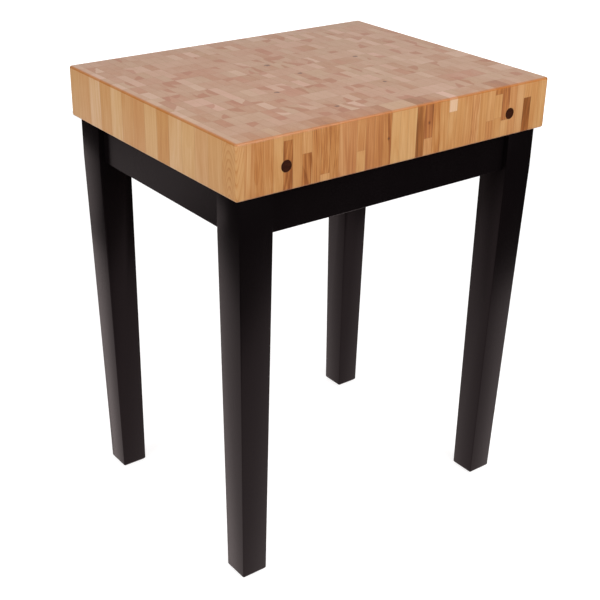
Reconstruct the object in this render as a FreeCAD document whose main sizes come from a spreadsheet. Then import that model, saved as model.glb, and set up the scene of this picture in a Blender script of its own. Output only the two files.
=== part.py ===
import FreeCAD, Part
import os
import Sketcher
from FreeCAD import Placement, Rotation, Vector

# A butcher block table: an end-grain block, drawn together by two steel tie rods, on a knock-down base of
# four tapered legs and four aprons, held at each corner by a brace and two hanger bolts.
# Millimetres. The origin is on the floor under the middle of the block: +X runs along the long side,
# +Y towards the back, +Z up.

doc = FreeCAD.newDocument("ButcherBlockTable")

# ---------------------------------------------------------------- driving dimensions

drivingSizes = [
    ("tableHeight", 914.4, "floor to work surface"),
    ("blockLength", 736.6, "block, along X"),
    ("blockDepth", 584.2, "block, along Y"),
    ("blockThick", 101.6, "block, along Z"),
    ("blockEase", 2.5, "radius on the outer edges of the block"),
    ("rodInset", 101.6, "tie rod axis to the end of the block"),
    ("rodBelowTop", 56.5, "tie rod axis to the work surface"),
    ("rodDia", 9.5, "tie rod"),
    ("rodClearance", 0.75, "gap round the rod in its bore"),
    ("rodNutWidth", 14.3, "nut, across flats"),
    ("rodNutThick", 8.3, "nut"),
    ("rodWasherClearance", 0.8, "gap round the washer in its counterbore"),
    ("rodWasherThick", 1.6, "washer"),
    ("rodStandOut", 3, "rod end past its nut"),
    ("plugDia", 22.2, "plug, and the counterbore that it fills"),
    ("plugLength", 8, "plug"),
    ("plugGap", 1, "rod end to plug"),
    ("legTop", 69.8, "leg, square, down to the bottom of the aprons"),
    ("legFoot", 55.2, "leg, square, at the floor"),
    ("legInsetX", 13.6, "leg to block end"),
    ("legInsetY", 11.2, "leg to block front or back"),
    ("footChamfer", 5, "foot, bottom edges"),
    ("cornerFlat", 12, "flat on the leg's inner corner, along each face"),
    ("apronHeight", 81.3, "apron"),
    ("apronThick", 22, "apron"),
    ("apronSetback", 12, "apron face behind the leg face"),
    ("apronEase", 1.5, "apron, lower outer edge"),
    ("braceThick", 25, "corner brace"),
    ("braceMargin", 8, "brace edge inside the apron edge, top and bottom"),
    ("braceGap", 6, "leg's inner corner to the brace"),
    ("boltDia", 8, "hanger bolt"),
    ("boltClearance", 0.5, "gap round the bolt in the brace"),
    ("boltInLeg", 40, "bolt, length held in the leg"),
    ("boltSpacing", 34, "between the two bolts of a corner, and the two screws at a brace's end"),
    ("boltStandOut", 5, "bolt end past its nut"),
    ("boltNutWidth", 12.7, "nut, across flats"),
    ("boltNutThick", 6.6, "nut"),
    ("boltWasherDia", 19, "washer, outside"),
    ("boltWasherThick", 1.8, "washer"),
    ("screwDia", 4.2, "brace and bracket screws"),
    ("screwHeadDia", 8.4, "brace and bracket screws"),
    ("screwHeadThick", 2.6, "brace and bracket screws"),
    ("screwSeat", 12, "wood of the brace under a screw head"),
    ("screwSkin", 4, "wood of the apron past a screw tip"),
    ("screwClearance", 0.3, "gap round a screw in the piece that it clamps"),
    ("bracketWidth", 40, "angle bracket, along the apron"),
    ("bracketLeg", 30, "angle bracket, each flange"),
    ("bracketThick", 3, "angle bracket"),
    ("bracketBend", 2, "angle bracket, inner bend radius"),
    ("bracketScrews", 22, "between the two screws in the apron flange"),
    ("bracketGap", 36, "from a brace to the bracket beside it on a long apron"),
    ("blockScrewDia", 5.5, "screw up into the block"),
    ("blockScrewHeadDia", 11, "screw up into the block"),
    ("blockScrewDepth", 32, "screw up into the block, held length"),
    ("slotTravel", 8, "how far the block may move over a bracket"),
]
stripCount = 14

sheet = doc.addObject("Spreadsheet::Sheet", "Sizes")
for row, (alias, value, note) in enumerate(drivingSizes, start=1):
    sheet.set(f"A{row}", alias)
    sheet.set(f"B{row}", str(value))
    sheet.set(f"C{row}", note)
    sheet.setAlias(f"B{row}", alias)
doc.recompute()

# Places worked out from the driving dimensions, as expressions.
blockBottom = "(Sizes.tableHeight - Sizes.blockThick)"
stripWidth = f"(Sizes.blockDepth / {stripCount})"
rodX = "(Sizes.blockLength / 2 - Sizes.rodInset)"
rodHeight = "(Sizes.tableHeight - Sizes.rodBelowTop)"
rodEnd = "(Sizes.plugLength + Sizes.plugGap)"
boreDepth = f"({rodEnd} + Sizes.rodStandOut + Sizes.rodNutThick + Sizes.rodWasherThick)"
apronBottom = f"({blockBottom} - Sizes.apronHeight)"
apronMiddle = f"({blockBottom} - Sizes.apronHeight / 2)"
legInnerX = "(Sizes.blockLength / 2 - Sizes.legInsetX - Sizes.legTop)"
legInnerY = "(Sizes.blockDepth / 2 - Sizes.legInsetY - Sizes.legTop)"
apronFaceX = "(Sizes.blockLength / 2 - Sizes.legInsetX - Sizes.apronSetback)"
apronFaceY = "(Sizes.blockDepth / 2 - Sizes.legInsetY - Sizes.apronSetback)"
apronReach = "(Sizes.legTop - Sizes.apronSetback - Sizes.apronThick)"  # leg past the apron's inner face
screwInApron = "(Sizes.apronThick - Sizes.screwSkin)"
braceHeight = "(Sizes.apronHeight - 2 * Sizes.braceMargin)"
braceNear = "(Sizes.braceGap * sqrt(2))"  # the brace's two faces, along X or Y from the leg's inner corner
braceFar = "((Sizes.braceGap + Sizes.braceThick) * sqrt(2))"
braceEnd = f"({braceFar} + {apronReach})"  # leg's inner face to the far end of the brace

# ---------------------------------------------------------------- helpers

pointed = "pointed"
quarterTurns = {"front": 0, "right": 1, "back": 2, "left": 3}
corners = {"front_left": 0, "front_right": 1, "back_right": 2, "back_left": 3}
nodes = []


def evaluate(expression):
    """The number that an expression gives now."""
    return float(sheet.evalExpression(expression))


def turned(turns, x, y):
    """Expressions for the point (x, y) after quarter turns about +Z."""
    return [(x, y), (f"-({y})", x), (f"-({x})", f"-({y})"), (y, f"-({x})")][turns % 4]


def bind(thing, **expressions):
    """Ties properties to expressions; a double underscore stands for a dot."""
    for name, expression in expressions.items():
        thing.setExpression(name.replace("__", "."), expression)
    return thing


def put(thing, x="0", y="0", z="0", rotation=Rotation()):
    """Sets a fixed rotation, and ties the place to expressions."""
    thing.Placement = Placement(Vector(), rotation)
    return bind(thing, Placement__Base__x=x, Placement__Base__y=y, Placement__Base__z=z)


def node(name, thing):
    """Marks an object as a sub-part: its label is the name of its file."""
    thing.Label = name
    if thing.Label != name:
        raise RuntimeError(f"the label {name} is already taken")
    nodes.append(thing)
    return thing


def aboutZ(turns):
    return Rotation(Vector(0, 0, 1), 90 * turns)


def originPlane(body, role):
    return next(feature for feature in body.Origin.OriginFeatures if feature.Role == role)


def sketchOn(body, name, role="XY_Plane", lift=None):
    """A sketch on one of the body's own planes, lifted off it by an expression."""
    sketch = body.newObject("Sketcher::SketchObject", name)
    sketch.AttachmentSupport = [(originPlane(body, role), "")]
    sketch.MapMode = "FlatFace"
    if lift:
        sketch.setExpression("AttachmentOffset.Base.z", lift)
    return sketch


def distances(sketch, pairs):
    """Ties points to the sketch's origin: (geometry, point, x expression, y expression)."""
    for geometry, point, x, y in pairs:
        for kind, expression in (("DistanceX", x), ("DistanceY", y)):
            at = sketch.getPoint(geometry, point)
            value = at.x if kind == "DistanceX" else at.y
            index = sketch.addConstraint(Sketcher.Constraint(kind, -1, 1, geometry, point, value))
            sketch.setExpression(f"Constraints[{index}]", expression)


def polygon(sketch, outline):
    """A closed outline of straight lines through points given as pairs of expressions."""
    points = [Vector(evaluate(x), evaluate(y), 0) for x, y in outline]
    count = len(points)
    sketch.addGeometry([Part.LineSegment(points[i], points[(i + 1) % count]) for i in range(count)])
    for i in range(count):
        sketch.addConstraint(Sketcher.Constraint("Coincident", i, 2, (i + 1) % count, 1))
    distances(sketch, [(i, 1, x, y) for i, (x, y) in enumerate(outline)])
    return sketch


def rectangle(sketch, x0, y0, x1, y1):
    return polygon(sketch, [(x0, y0), (x1, y0), (x1, y1), (x0, y1)])


def pad(body, name, sketch, length, midplane=False):
    feature = body.newObject("PartDesign::Pad", name)
    feature.Profile = sketch
    feature.Midplane = midplane
    feature.setExpression("Length", length)
    sketch.Visibility = False
    doc.recompute()
    return feature


def pocket(body, name, sketch, length, reverse=False):
    feature = body.newObject("PartDesign::Pocket", name)
    feature.Profile = sketch
    feature.Reversed = reverse
    feature.setExpression("Length", length)
    before = body.Shape.Volume
    doc.recompute()
    if body.Shape.Volume > before - 1:
        raise RuntimeError(f"{name} cuts nothing")
    return feature


def edgesWhere(shape, test):
    """Names of the edges whose middle passes the test."""
    return [f"Edge{i}" for i, edge in enumerate(shape.Edges, start=1) if test(edge)]


def dress(body, kind, name, test, **expressions):
    """A fillet or chamfer on the edges that pass the test."""
    base = body.Tip
    feature = body.newObject(f"PartDesign::{kind}", name)
    feature.Base = (base, edgesWhere(base.Shape, test))
    bind(feature, **expressions)
    doc.recompute()
    return feature


def cylinder(name, diameter, height, **placing):
    made = doc.addObject("Part::Cylinder", name)
    bind(made, Radius=f"({diameter}) / 2", Height=height)
    return put(made, **placing)


def cut(name, base, tools):
    """The base with every tool taken away from it."""
    made = doc.addObject("Part::Cut", name)
    made.Base = base
    made.Tool = tools[0] if len(tools) == 1 else gather(f"{name}_tools", tools)
    return made


def gather(name, things):
    """Separate solids held as one group."""
    made = doc.addObject("Part::Compound", name)
    made.Links = things
    return made


def turnedProfile(name, outline):
    """The half section of a turned piece, in the XZ plane, as points (radius, height)."""
    sketch = doc.addObject("Sketcher::SketchObject", name)
    sketch.Placement = Placement(Vector(), Rotation(Vector(1, 0, 0), 90))
    return polygon(sketch, outline)


def turnedPiece(name, profile, **placing):
    """A turned piece made from a half section, about its own Z axis."""
    made = doc.addObject("Part::Revolution", name)
    made.Source = profile
    made.Axis = Vector(0, 0, 1)
    made.Angle = 360
    made.Solid = True
    return put(made, **placing)


def near(value, target, reach=0.01):
    return abs(value - target) < reach


def middle(edge):
    return edge.CenterOfMass


def spot(origin, turns, x, y):
    """Expressions for a local point, turned and then moved to an origin."""
    turnedX, turnedY = turned(turns, x, y)
    return {"x": f"{origin[0]} + {turnedX}", "y": f"{origin[1]} + {turnedY}"}


def pointing(turns, x, y, z=0):
    """The rotation that stands a piece's own Z axis along a turned direction."""
    return Rotation(Vector(0, 0, 1), aboutZ(turns).multVec(Vector(x, y, z)))


def nut(name, width, thick, bore, **placing):
    """A hexagonal nut with turned corners."""
    ring = turnedPiece(f"{name}_ring", nutProfile(f"{name}_profile", width, thick, bore), **placing)
    prism = doc.addObject("Part::Prism", f"{name}_prism")
    prism.Polygon = 6
    put(bind(prism, Circumradius=f"{width} / sqrt(3)", Height=thick), **placing)
    made = doc.addObject("Part::Common", name)
    made.Base, made.Tool = prism, ring
    return made


def nutProfile(name, width, thick, bore):
    inner, flat, corner, bevel = f"{bore} / 2", f"{width} / 2", f"{width} / sqrt(3)", f"{width} / 15"
    return turnedProfile(name, [(inner, "0"), (flat, "0"), (corner, bevel), (corner, f"{thick} - {bevel}"),
                                (flat, thick), (inner, thick)])


def washerProfile(name, bore, outside, thick):
    inner, outer = f"({bore}) / 2", f"{outside} / 2"
    return turnedProfile(name, [(inner, "0"), (outer, "0"), (outer, thick), (inner, thick)])


def barProfile(name, diameter, length, bevel, tip):
    """A round bar, with a bevel at the far end and a bevel or a screw point at the near one."""
    rim, back = f"{diameter} / 2", f"{diameter} / 2 - {bevel}"
    start = f"{rim} * 0.15" if tip == pointed else f"{rim} - {tip}"
    taper = f"{diameter} * 0.8" if tip == pointed else tip
    return turnedProfile(name, [("0", "0"), (start, "0"), (rim, taper), (rim, f"{length} - {bevel}"),
                                (back, length), ("0", length)])


def screwProfile(name, diameter, headDiameter, headThick, length):
    """A pan-head screw: the seat of the head is at height 0 and the shank hangs below it."""
    shank, head = f"{diameter} / 2", f"{headDiameter} / 2"
    return turnedProfile(name, [("0", f"-({length})"), (shank, f"{diameter} - ({length})"), (shank, "0"),
                                (head, "0"), (head, f"{headThick} * 0.45"), (f"{head} * 0.62", headThick),
                                ("0", headThick)])


# ---------------------------------------------------------------- block: tie rods, nuts, washers and plugs

rodBevel, plugBevel = "1", "0.6"
ends = {"front": ("-1", Vector(0, -1, 0)), "back": ("1", Vector(0, 1, 0))}
sides = {"left": "-1", "right": "1"}
alongY = Rotation(Vector(0, 0, 1), Vector(0, 1, 0))

rodLength = f"(Sizes.blockDepth - 2 * {rodEnd})"
rodProfile = barProfile("rodProfile", "Sizes.rodDia", rodLength, rodBevel, rodBevel)
rodWasherProfile = washerProfile("rodWasherProfile", "Sizes.rodDia + 2 * Sizes.rodClearance",
                                 "(Sizes.plugDia - 2 * Sizes.rodWasherClearance)", "Sizes.rodWasherThick")
plugProfile = barProfile("plugProfile", "Sizes.plugDia", "Sizes.plugLength", plugBevel, plugBevel)
rodBores, rodNuts, rodWashers = [], [], []
for side, sideSign in sides.items():
    axisX = f"{sideSign} * {rodX}"
    node(f"tie_rod_{side}", turnedPiece(f"tieRod_{side}", rodProfile, x=axisX,
                                        y=f"{rodEnd} - Sizes.blockDepth / 2", z=rodHeight, rotation=alongY))
    rodBores.append(cylinder(f"rodBore_{side}", "Sizes.rodDia + 2 * Sizes.rodClearance", "Sizes.blockDepth",
                             x=axisX, y="-Sizes.blockDepth / 2", z=rodHeight, rotation=alongY))
    for end, (endSign, outward) in ends.items():
        name = f"{end}_{side}"
        outOf = Rotation(Vector(0, 0, 1), outward)

        def depth(inside):
            return {"x": axisX, "y": f"{endSign} * (Sizes.blockDepth / 2 - ({inside}))", "z": rodHeight,
                    "rotation": outOf}

        rodBores.append(cylinder(f"counterbore_{name}", "Sizes.plugDia", boreDepth, **depth(boreDepth)))
        rodWashers.append(turnedPiece(f"rodWasher_{name}", rodWasherProfile, **depth(boreDepth)))
        rodNuts.append(nut(f"rodNut_{name}", "Sizes.rodNutWidth", "Sizes.rodNutThick", "Sizes.rodDia",
                           **depth(f"{boreDepth} - Sizes.rodWasherThick")))
        node(f"plug_{name}", turnedPiece(f"plug_{name}_turned", plugProfile, **depth("Sizes.plugLength")))
node("tie_rod_washers", gather("rodWashers", rodWashers))
node("tie_rod_nuts", gather("rodNuts", rodNuts))

# ---------------------------------------------------------------- angle brackets, screws and pilot holes

flangeMiddle = "((Sizes.bracketLeg + Sizes.bracketThick + Sizes.bracketBend) / 2)"
bracketCorner = 3  # rounded corners of the flanges
acrossX = f"(Sizes.apronThick - {apronFaceX})"  # inner faces of the left and the front apron
acrossY = f"(Sizes.apronThick - {apronFaceY})"
bracketX = f"({legInnerX} - {braceEnd} - Sizes.bracketGap - Sizes.bracketWidth / 2)"
brackets = {
    "front_left": (0, f"-{bracketX}", acrossY),
    "front_right": (0, bracketX, acrossY),
    "right": (1, f"-{acrossX}", "0"),
    "back_right": (2, bracketX, f"-{acrossY}"),
    "back_left": (2, f"-{bracketX}", f"-{acrossY}"),
    "left": (3, acrossX, "0"),
}
bracketScrewProfile = screwProfile("bracketScrewProfile", "Sizes.screwDia", "Sizes.screwHeadDia",
                                   "Sizes.screwHeadThick", f"(Sizes.bracketThick + {screwInApron})")
blockScrewProfile = screwProfile("blockScrewProfile", "Sizes.blockScrewDia", "Sizes.blockScrewHeadDia",
                                 "Sizes.screwHeadThick", "(Sizes.bracketThick + Sizes.blockScrewDepth)")


def bracketBody(name, turns, origin):
    """An L in the YZ plane: one flange down the apron's inner face, one along the block's underside."""
    body = doc.addObject("PartDesign::Body", f"angle_{name}")
    far, thick = "Sizes.bracketLeg", "Sizes.bracketThick"
    outline = [("0", f"-{far}"), (thick, f"-{far}"), (thick, f"-{thick}"),
               (far, f"-{thick}"), (far, "0"), ("0", "0")]
    profile = polygon(sketchOn(body, f"bracketProfile_{name}", "YZ_Plane"), outline)
    pad(body, f"bracketPad_{name}", profile, "Sizes.bracketWidth", midplane=True)
    depth = evaluate(thick)

    def alongX(edge):
        return near(middle(edge).x, 0)

    dress(body, "Fillet", f"bracketOuterBend_{name}", Radius="Sizes.bracketBend + Sizes.bracketThick",
          test=lambda edge: alongX(edge) and near(middle(edge).y, 0) and near(middle(edge).z, 0))
    dress(body, "Fillet", f"bracketInnerBend_{name}", Radius="Sizes.bracketBend",
          test=lambda edge: alongX(edge) and near(middle(edge).y, depth) and near(middle(edge).z, -depth))
    tips = {(evaluate(far), -depth / 2), (depth / 2, -evaluate(far))}
    dress(body, "Fillet", f"bracketCorners_{name}", Radius=str(bracketCorner),
          test=lambda edge: any(near(middle(edge).y, y) and near(middle(edge).z, z) for y, z in tips)
          and not alongX(edge))
    return put(body, x=origin[0], y=origin[1], z=blockBottom, rotation=aboutZ(turns))


apronPilots, blockPilots, bracketScrews, blockScrews = [], [], [], []
for name, (turns, originX, originY) in brackets.items():
    origin = (originX, originY)
    blank = bracketBody(name, turns, origin)
    holes = []
    for number, shift in enumerate(("-Sizes.bracketScrews / 2", "Sizes.bracketScrews / 2"), start=1):
        height = f"{blockBottom} - {flangeMiddle}"
        holes.append(cylinder(f"bracketHole_{name}_{number}", "Sizes.screwDia + 2 * Sizes.screwClearance",
                              "Sizes.bracketThick", **spot(origin, turns, shift, "0"), z=height,
                              rotation=pointing(turns, 0, 1)))
        apronPilots.append(cylinder(f"bracketPilot_{name}_{number}", "Sizes.screwDia", screwInApron,
                                    **spot(origin, turns, shift, "0"), z=height,
                                    rotation=pointing(turns, 0, -1)))
        bracketScrews.append(turnedPiece(f"bracketScrew_{name}_{number}", bracketScrewProfile,
                                         **spot(origin, turns, shift, "Sizes.bracketThick"), z=height,
                                         rotation=pointing(turns, 0, 1)))
    slotWidth = "Sizes.blockScrewDia + 2 * Sizes.screwClearance"
    under = f"{blockBottom} - Sizes.bracketThick"
    slotEnds = [f"{flangeMiddle} - Sizes.slotTravel / 2", f"{flangeMiddle} + Sizes.slotTravel / 2"]
    slot = doc.addObject("Part::Box", f"slotMiddle_{name}")
    bind(slot, Length=slotWidth, Width="Sizes.slotTravel", Height="Sizes.bracketThick")
    put(slot, **spot(origin, turns, f"-({slotWidth}) / 2", slotEnds[0]), z=under, rotation=aboutZ(turns))
    rounds = [cylinder(f"slotEnd_{name}_{number}", slotWidth, "Sizes.bracketThick",
                       **spot(origin, turns, "0", y), z=under) for number, y in enumerate(slotEnds, start=1)]
    slotTool = doc.addObject("Part::MultiFuse", f"slot_{name}")
    slotTool.Shapes = [slot] + rounds
    node(f"bracket_{name}", cut(f"bracketCut_{name}", blank, holes + [slotTool]))
    middleSpot = spot(origin, turns, "0", flangeMiddle)
    blockPilots.append(cylinder(f"blockPilot_{name}", "Sizes.blockScrewDia", "Sizes.blockScrewDepth",
                                **middleSpot, z=blockBottom))
    blockScrews.append(turnedPiece(f"blockScrew_{name}", blockScrewProfile, **middleSpot, z=under,
                                   rotation=Rotation(Vector(1, 0, 0), 180)))
node("bracket_screws", gather("bracketScrews", bracketScrews))
node("block_screws", gather("blockScrews", blockScrews))

# ---------------------------------------------------------------- block strips

blockBores = doc.addObject("Part::MultiFuse", "blockBores")
blockBores.Shapes = rodBores + blockPilots


def stripBody(number):
    """One strip of the block, along X, with the block's outer edges rounded where they fall on it."""
    body = doc.addObject("PartDesign::Body", f"strip{number:02d}")
    plan = rectangle(sketchOn(body, f"stripPlan{number:02d}"), "0", "0", "Sizes.blockLength", stripWidth)
    pad(body, f"stripPad{number:02d}", plan, "Sizes.blockThick")
    length, width, thick = (evaluate(size) for size in ("Sizes.blockLength", stripWidth, "Sizes.blockThick"))

    def outer(edge):
        at = middle(edge)
        faces = [near(at.x, 0), near(at.x, length), near(at.z, 0), near(at.z, thick),
                 number == 1 and near(at.y, 0), number == stripCount and near(at.y, width)]
        return sum(faces) >= 2

    dress(body, "Fillet", f"stripEase{number:02d}", outer, Radius="Sizes.blockEase")
    return put(body, x="-Sizes.blockLength / 2", y=f"{number - 1} * {stripWidth} - Sizes.blockDepth / 2",
               z=blockBottom)


for number in range(1, stripCount + 1):
    node(f"block_strip_{number:02d}", cut(f"stripCut{number:02d}", stripBody(number), [blockBores]))

# ---------------------------------------------------------------- corners: legs, braces and hanger bolts

boltBack = "(Sizes.cornerFlat / 2 + Sizes.boltInLeg / sqrt(2))"  # bolt's tip, along X and Y
boltPack = "(Sizes.boltWasherThick + Sizes.boltNutThick + Sizes.boltStandOut)"
boltReach = "(Sizes.braceGap + Sizes.braceThick)"  # leg's inner corner to the washer
boltLength = f"(Sizes.boltInLeg + Sizes.cornerFlat / sqrt(2) + {boltReach} + {boltPack})"
braceMiddle = f"({apronReach} + ({braceNear} + {braceFar}) / 2)"
headRoom = 1  # the screw's recess in the brace is wider than its head

boltProfile = barProfile("boltProfile", "Sizes.boltDia", boltLength, rodBevel, pointed)
boltWasherProfile = washerProfile("boltWasherProfile", "Sizes.boltDia + 2 * Sizes.boltClearance",
                                  "Sizes.boltWasherDia", "Sizes.boltWasherThick")
braceScrewProfile = screwProfile("braceScrewProfile", "Sizes.screwDia", "Sizes.screwHeadDia",
                                 "Sizes.screwHeadThick", f"(Sizes.screwSeat + {screwInApron})")


def legBody(name, turns, origin):
    """A square leg: straight behind the aprons, then tapered on its two outer faces down to the foot."""
    body = doc.addObject("PartDesign::Body", f"leg_{name}_body")
    foot = rectangle(sketchOn(body, f"legFoot_{name}"), "-Sizes.legFoot", "-Sizes.legFoot", "0", "0")
    upper = rectangle(sketchOn(body, f"legUpper_{name}", lift=apronBottom),
                      "-Sizes.legTop", "-Sizes.legTop", "0", "0")
    pad(body, f"legPad_{name}", upper, "Sizes.apronHeight")
    loft = body.newObject("PartDesign::AdditiveLoft", f"legTaper_{name}")
    loft.Profile = upper
    loft.Sections = [foot]
    loft.Ruled = True
    doc.recompute()
    flat = polygon(sketchOn(body, f"legFlat_{name}", lift=blockBottom),
                   [("0", "0"), ("-Sizes.cornerFlat", "0"), ("0", "-Sizes.cornerFlat")])
    pocket(body, f"legFlatCut_{name}", flat, "Sizes.apronHeight")
    dress(body, "Chamfer", f"legChamfer_{name}", Size="Sizes.footChamfer",
          test=lambda edge: near(middle(edge).z, 0))
    return put(body, x=origin[0], y=origin[1], rotation=aboutZ(turns))


def braceBody(name, turns, origin):
    """A board across the corner, its ends mitred to lie on the inner faces of both aprons."""
    body = doc.addObject("PartDesign::Body", f"brace_{name}_body")
    nearEnd, reach = f"{braceNear} + {apronReach}", f"-{apronReach}"
    plan = polygon(sketchOn(body, f"bracePlan_{name}"),
                   [(nearEnd, reach), (braceEnd, reach), (reach, braceEnd), (reach, nearEnd)])
    pad(body, f"bracePad_{name}", plan, braceHeight)
    return put(body, x=origin[0], y=origin[1], z=f"{apronMiddle} - {braceHeight} / 2", rotation=aboutZ(turns))


hangerBolts, hangerWashers, hangerNuts, braceScrews = [], [], [], []
for name, turns in corners.items():
    origin = (f"-{legInnerX}" if "left" in name else legInnerX,
              f"-{legInnerY}" if "front" in name else legInnerY)
    outward = pointing(turns, 1, 1)
    legBores, braceBores = [], []
    for level, rise in {"low": "-Sizes.boltSpacing / 2", "high": "Sizes.boltSpacing / 2"}.items():
        at = f"{name}_{level}"
        height = f"{apronMiddle} + {rise}"

        def alongBolt(distance):
            """A place on the bolt's axis, at a distance from the leg's inner corner."""
            step = f"({distance}) / sqrt(2)"
            return {**spot(origin, turns, step, step), "z": height, "rotation": outward}

        tip = {**spot(origin, turns, f"-{boltBack}", f"-{boltBack}"), "z": height, "rotation": outward}
        hangerBolts.append(turnedPiece(f"bolt_{at}", boltProfile, **tip))
        legBores.append(cylinder(f"legBore_{at}", "Sizes.boltDia", "Sizes.boltInLeg + Sizes.cornerFlat",
                                 **tip))
        braceBores.append(cylinder(f"boltHole_{at}", "Sizes.boltDia + 2 * Sizes.boltClearance",
                                   boltReach, **alongBolt("0")))
        hangerWashers.append(turnedPiece(f"boltWasher_{at}", boltWasherProfile, **alongBolt(boltReach)))
        hangerNuts.append(nut(f"boltNut_{at}", "Sizes.boltNutWidth", "Sizes.boltNutThick", "Sizes.boltDia",
                              **alongBolt(f"{boltReach} + Sizes.boltWasherThick")))
        for arm, (x, y) in {"a": (0, 1), "b": (1, 0)}.items():
            inward = pointing(turns, x, y)

            def offApron(distance):
                """A place on the screw's axis, at a distance from the apron's inner face."""
                away = f"{distance} - {apronReach}"
                across, along = (braceMiddle, away) if arm == "a" else (away, braceMiddle)
                return {**spot(origin, turns, across, along), "z": height, "rotation": inward}

            apronPilots.append(cylinder(f"bracePilot_{at}_{arm}", "Sizes.screwDia", screwInApron,
                                        **offApron(f"-{screwInApron}")))
            hole = cylinder(f"screwHole_{at}_{arm}", "Sizes.screwDia + 2 * Sizes.screwClearance",
                            "Sizes.screwSeat", **offApron("0"))
            recess = cylinder(f"screwRecess_{at}_{arm}", f"Sizes.screwHeadDia + {headRoom}",
                              "Sizes.braceThick", **offApron("Sizes.screwSeat"))
            both = doc.addObject("Part::MultiFuse", f"screwBore_{at}_{arm}")
            both.Shapes = [hole, recess]
            braceBores.append(both)
            braceScrews.append(turnedPiece(f"braceScrew_{at}_{arm}", braceScrewProfile,
                                           **offApron("Sizes.screwSeat")))
    node(f"leg_{name}", cut(f"legCut_{name}", legBody(name, turns, origin), legBores))
    node(f"brace_{name}", cut(f"braceCut_{name}", braceBody(name, turns, origin), braceBores))
node("hanger_bolts", gather("hangerBolts", hangerBolts))
node("hanger_washers", gather("hangerWashers", hangerWashers))
node("hanger_nuts", gather("hangerNuts", hangerNuts))
node("brace_screws", gather("braceScrews", braceScrews))

# ---------------------------------------------------------------- aprons

pilots = gather("pilots", apronPilots)
for name, turns in quarterTurns.items():
    run = legInnerX if turns in (0, 2) else legInnerY
    body = doc.addObject("PartDesign::Body", f"apron_{name}_body")
    plan = rectangle(sketchOn(body, f"apronPlan_{name}"), "0", "0", f"2 * {run}", "Sizes.apronThick")
    pad(body, f"apronPad_{name}", plan, "Sizes.apronHeight")
    dress(body, "Fillet", f"apronEase_{name}", Radius="Sizes.apronEase",
          test=lambda edge: near(middle(edge).y, 0) and near(middle(edge).z, 0))
    start = [(f"-{legInnerX}", f"-{apronFaceY}"), (apronFaceX, f"-{legInnerY}"),
             (legInnerX, apronFaceY), (f"-{apronFaceX}", legInnerY)][turns]
    put(body, x=start[0], y=start[1], z=apronBottom, rotation=aboutZ(turns))
    node(f"apron_{name}", cut(f"apronCut_{name}", body, [pilots]))

# ---------------------------------------------------------------- checks and export

doc.recompute()
failed = [thing.Name for thing in doc.Objects if {"Invalid", "Error"} & set(thing.State)]
if failed:
    raise RuntimeError(f"not built: {failed}")
for piece in nodes:
    if piece.Shape.isNull() or not piece.Shape.isValid() or not piece.Shape.Solids:
        raise RuntimeError(f"{piece.Label} has no valid shape")
os.makedirs("parts", exist_ok=True)
for piece in nodes:
    piece.Shape.exportStep(f"parts/{piece.Label}.step")
print(f"{len(nodes)} sub-parts, {sum(len(piece.Shape.Solids) for piece in nodes)} solids")
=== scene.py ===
import math
import random

import bmesh
import bpy
from mathutils import Matrix, Vector


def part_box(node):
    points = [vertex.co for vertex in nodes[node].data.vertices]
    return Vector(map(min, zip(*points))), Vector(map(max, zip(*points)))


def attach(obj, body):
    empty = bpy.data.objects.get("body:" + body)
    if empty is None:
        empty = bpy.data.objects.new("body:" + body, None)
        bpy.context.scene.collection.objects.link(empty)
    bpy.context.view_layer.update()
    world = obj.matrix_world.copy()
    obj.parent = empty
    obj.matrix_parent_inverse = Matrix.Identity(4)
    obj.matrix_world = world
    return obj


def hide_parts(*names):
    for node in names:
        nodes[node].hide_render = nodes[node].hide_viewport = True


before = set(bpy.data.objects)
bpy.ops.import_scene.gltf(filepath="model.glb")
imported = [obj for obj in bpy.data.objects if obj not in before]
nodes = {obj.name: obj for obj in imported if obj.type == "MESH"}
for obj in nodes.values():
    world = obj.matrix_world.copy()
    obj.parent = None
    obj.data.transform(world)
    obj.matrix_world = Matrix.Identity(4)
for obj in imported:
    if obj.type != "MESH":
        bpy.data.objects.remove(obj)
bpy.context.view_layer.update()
scene = bpy.context.scene
print("frame loaded")


# a node's output that can be added, multiplied and so on
class Wire:
    def __init__(self, tree, socket):
        self.tree = tree
        self.socket = socket

    def __add__(self, other):
        return self.tree.math("ADD", self, other)

    def __radd__(self, other):
        return self.tree.math("ADD", other, self)

    def __sub__(self, other):
        return self.tree.math("SUBTRACT", self, other)

    def __rsub__(self, other):
        return self.tree.math("SUBTRACT", other, self)

    def __mul__(self, other):
        return self.tree.math("MULTIPLY", self, other)

    def __rmul__(self, other):
        return self.tree.math("MULTIPLY", other, self)

    def __truediv__(self, other):
        return self.tree.math("DIVIDE", self, other)

    def __rtruediv__(self, other):
        return self.tree.math("DIVIDE", other, self)

    def __abs__(self):
        return self.tree.math("ABSOLUTE", self)


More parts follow.
